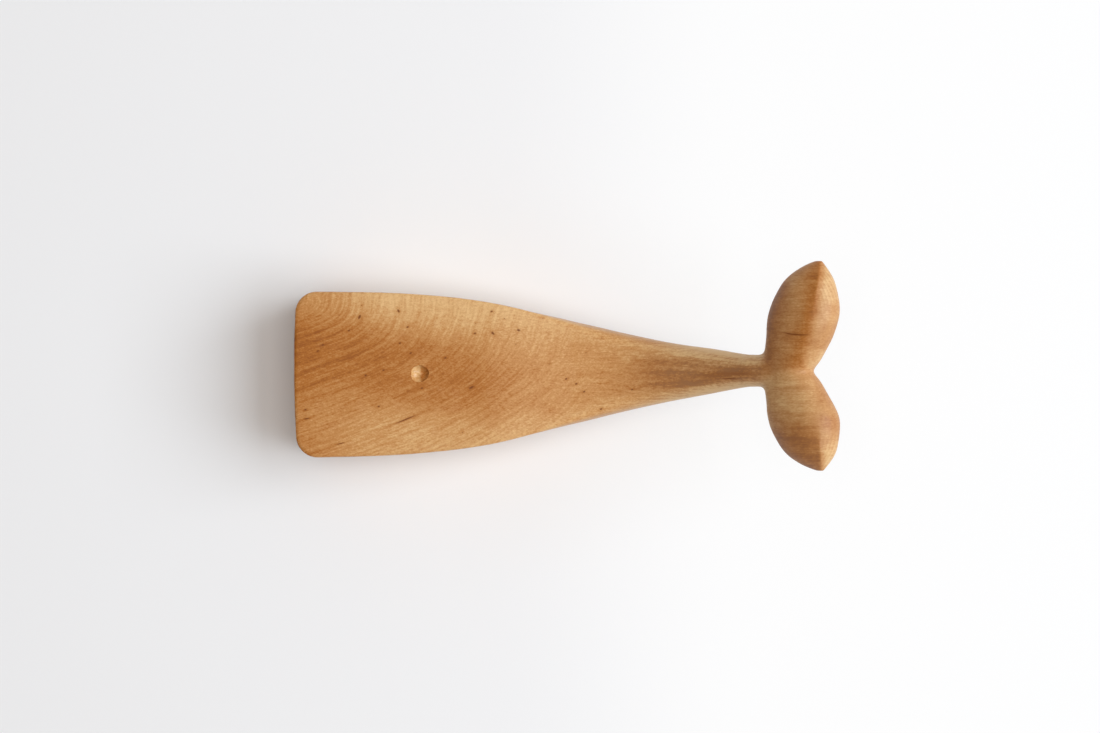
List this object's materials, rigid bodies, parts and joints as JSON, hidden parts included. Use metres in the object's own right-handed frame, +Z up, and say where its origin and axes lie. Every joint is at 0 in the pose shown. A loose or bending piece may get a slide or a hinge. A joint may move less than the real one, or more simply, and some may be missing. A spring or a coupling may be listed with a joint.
{
  "type": "whale figurine",
  "caption": "Carved wooden whale ornament with a flat-topped head, a gouged blowhole, a tapering body and a rising tail that ends in plump flukes. It stands free on its flat belly.",
  "frame": {"origin": "on the surface that the whale stands on, under the middle of its overall length and width", "axes": "+X from the nose to the flukes, +Y to the whale's right side, +Z up"},
  "size_m": [0.15, 0.0568, 0.055],
  "materials": {
    "body_wood": "hand-carved hardwood with a thin satin oil finish",
    "fluke_wood": "hand-carved hardwood with a thin satin oil finish, grain across the flukes",
    "dowel_wood": "plain unfinished wooden pin"
  },
  "bodies": {
    "root": {"body": "body_wood", "tail_flukes": "fluke_wood", "tail_dowel": "dowel_wood"}
  },
  "joints": []
}
